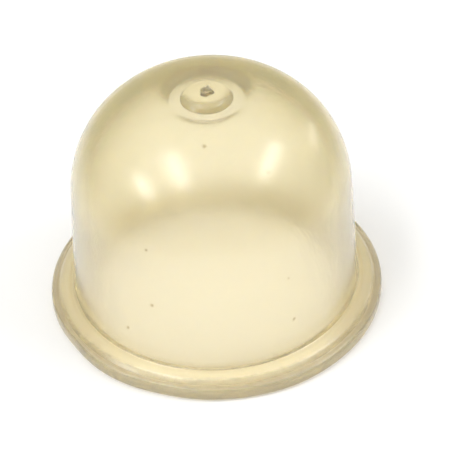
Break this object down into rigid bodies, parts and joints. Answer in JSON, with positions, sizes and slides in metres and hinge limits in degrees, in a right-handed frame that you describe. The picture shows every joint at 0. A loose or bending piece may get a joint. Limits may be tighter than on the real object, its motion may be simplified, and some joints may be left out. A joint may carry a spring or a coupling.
{
  "type": "primer bulb",
  "caption": "Hollow domed primer bulb of aged clear elastomer, with a round-edged sealing flange and a low bead round its open mouth, and a low button on its crown.",
  "frame": {"origin": "middle of the flange's flat underside, on the bulb's axis", "axes": "+Z along the bulb's axis, from the open mouth up to the crown; the torn gate stub leans towards +X and +Y"},
  "size_m": [0.0222, 0.0222, 0.0171],
  "materials": {
    "aged_elastomer": "satin"
  },
  "bodies": {
    "root": {"primer_bulb": "aged_elastomer"}
  },
  "joints": []
}
